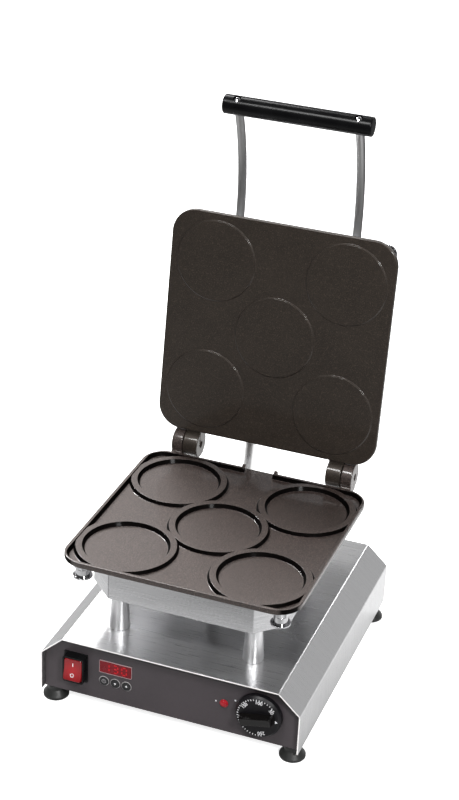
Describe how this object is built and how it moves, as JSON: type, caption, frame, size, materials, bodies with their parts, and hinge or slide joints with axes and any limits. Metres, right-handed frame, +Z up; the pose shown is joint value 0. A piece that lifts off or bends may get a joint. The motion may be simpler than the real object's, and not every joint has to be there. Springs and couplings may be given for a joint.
{
  "type": "pancake maker",
  "caption": "Countertop pancake maker: hinged lid with a long handle, cast plate with round moulds, gutter and spout, steel base with rocker switch, timer display and thermostat dial.",
  "frame": {"origin": "middle of the bounding box seen from above, on the plane that the feet stand on", "axes": "+X to the right seen from the control panel, +Y from the control panel to the hinge, +Z up"},
  "size_m": [0.307, 0.3886, 0.6087],
  "materials": {
    "brushed_stainless": "brushed stainless sheet, grain along its length",
    "satin_steel": "satin steel",
    "satin_aluminium": "satin, turned",
    "lower_coating": "cast, dark speckled non-stick coating",
    "lid_coating": "cast, matt dark brown non-stick coating",
    "bright_chrome": "polished plating",
    "panel_paint": "satin charcoal",
    "black_rubber": "smooth black",
    "black_plastic": "semi-gloss black",
    "pale_plastic": "matt off-white",
    "red_plastic": "translucent gloss red",
    "display_red": "dark red filter, smooth",
    "mineral_mat": "pressed mineral fibre"
  },
  "bodies": {
    "base": {"housing_shell": "brushed_stainless", "base_plate": "satin_steel", "rear_panel": "brushed_stainless", "front_panel": "panel_paint", "foot_front_left": "black_rubber", "foot_front_right": "black_rubber", "foot_rear_left": "black_rubber", "foot_rear_right": "black_rubber", "mains_gland": "black_plastic", "terminal_block": "pale_plastic", "switch_frame": "black_plastic", "display_window": "display_red", "control_module": "black_plastic", "pilot_lamp": "red_plastic", "thermostat_body": "satin_steel", "thermostat_shaft": "satin_steel", "pillar_front_left": "satin_aluminium", "pillar_front_right": "satin_aluminium", "pillar_rear_left": "satin_aluminium", "pillar_rear_right": "satin_aluminium", "pillar_bolt_front_left": "satin_steel", "pillar_bolt_front_right": "satin_steel", "pillar_bolt_rear_left": "satin_steel", "pillar_bolt_rear_right": "satin_steel", "wire_sleeve": "satin_steel", "lower_plate": "lower_coating", "lower_carrier": "satin_steel", "lower_casing": "brushed_stainless", "lower_element": "satin_steel", "lower_reflector": "satin_aluminium", "lower_insulation": "mineral_mat", "hinge_pin_left": "bright_chrome", "hinge_pin_right": "bright_chrome", "lead_gland_base": "satin_steel", "upper_lead": "satin_steel"},
    "lid": {"upper_plate": "lid_coating", "upper_carrier": "satin_steel", "upper_casing": "brushed_stainless", "upper_element": "satin_steel", "upper_reflector": "satin_aluminium", "upper_insulation": "mineral_mat", "handle_rod_left": "satin_steel", "handle_rod_right": "satin_steel", "handle_grip": "black_plastic", "grip_screw_left": "bright_chrome", "grip_screw_right": "bright_chrome", "lead_gland_lid": "satin_steel"},
    "rocker": {"power_rocker": "red_plastic"},
    "dial": {"thermostat_dial": "black_plastic"},
    "mode_button": {"button_mode": "black_plastic"},
    "down_button": {"button_down": "black_plastic"},
    "up_button": {"button_up": "black_plastic"},
    "lower_screw_front_left": {"lower_thumb_screw_front_left": "bright_chrome"},
    "lower_screw_front_right": {"lower_thumb_screw_front_right": "bright_chrome"},
    "lower_screw_rear_left": {"lower_thumb_screw_rear_left": "bright_chrome"},
    "lower_screw_rear_right": {"lower_thumb_screw_rear_right": "bright_chrome"},
    "upper_screw_front_left": {"upper_thumb_screw_front_left": "bright_chrome"},
    "upper_screw_front_right": {"upper_thumb_screw_front_right": "bright_chrome"},
    "upper_screw_rear_left": {"upper_thumb_screw_rear_left": "bright_chrome"},
    "upper_screw_rear_right": {"upper_thumb_screw_rear_right": "bright_chrome"}
  },
  "joints": [
    {"name": "lid_hinge", "type": "hinge", "parent": "base", "child": "lid", "pos_m": [0, 0.10922, 0.194], "axis": [1, 0, 0], "range_deg": [0, 97.3], "deforming": ["upper_lead"]},
    {"name": "rocker_turn", "type": "hinge", "parent": "base", "child": "rocker", "pos_m": [-0.1105, -0.17978, 0.052], "axis": [1, 0, 0], "range_deg": [0, 20]},
    {"name": "dial_turn", "type": "hinge", "parent": "base", "child": "dial", "pos_m": [0.1032, -0.17528, 0.052], "axis": [0, 1, 0], "range_deg": [-160, 130]},
    {"name": "mode_press", "type": "slide", "parent": "base", "child": "mode_button", "axis": [0, 1, 0], "range_m": [0, 0.001], "stiffness_N_per_m": 300},
    {"name": "down_press", "type": "slide", "parent": "base", "child": "down_button", "axis": [0, 1, 0], "range_m": [0, 0.001], "stiffness_N_per_m": 300},
    {"name": "up_press", "type": "slide", "parent": "base", "child": "up_button", "axis": [0, 1, 0], "range_m": [0, 0.001], "stiffness_N_per_m": 300},
    {"name": "lower_screw_front_left_turn", "type": "hinge", "parent": "base", "child": "lower_screw_front_left", "pos_m": [-0.113, -0.15428, 0.1721], "axis": [0, 0, -1], "range_deg": [0, 2700]},
    {"name": "lower_screw_front_right_turn", "type": "hinge", "parent": "base", "child": "lower_screw_front_right", "pos_m": [0.113, -0.15428, 0.1721], "axis": [0, 0, -1], "range_deg": [0, 2700]},
    {"name": "lower_screw_rear_left_turn", "type": "hinge", "parent": "base", "child": "lower_screw_rear_left", "pos_m": [-0.113, 0.07172, 0.1721], "axis": [0, 0, -1], "range_deg": [0, 2700]},
    {"name": "lower_screw_rear_right_turn", "type": "hinge", "parent": "base", "child": "lower_screw_rear_right", "pos_m": [0.113, 0.07172, 0.1721], "axis": [0, 0, -1], "range_deg": [0, 2700]},
    {"name": "upper_screw_front_left_turn", "type": "hinge", "parent": "lid", "child": "upper_screw_front_left", "pos_m": [-0.113, 0.14826, 0.45465], "axis": [0, 0.9919, -0.1271], "range_deg": [0, 2700]},
    {"name": "upper_screw_front_right_turn", "type": "hinge", "parent": "lid", "child": "upper_screw_front_right", "pos_m": [0.113, 0.14826, 0.45465], "axis": [0, 0.9919, -0.1271], "range_deg": [0, 2700]},
    {"name": "upper_screw_rear_left_turn", "type": "hinge", "parent": "lid", "child": "upper_screw_rear_left", "pos_m": [-0.113, 0.11954, 0.23048], "axis": [0, 0.9919, -0.1271], "range_deg": [0, 2700]},
    {"name": "upper_screw_rear_right_turn", "type": "hinge", "parent": "lid", "child": "upper_screw_rear_right", "pos_m": [0.113, 0.11954, 0.23048], "axis": [0, 0.9919, -0.1271], "range_deg": [0, 2700]}
  ]
}
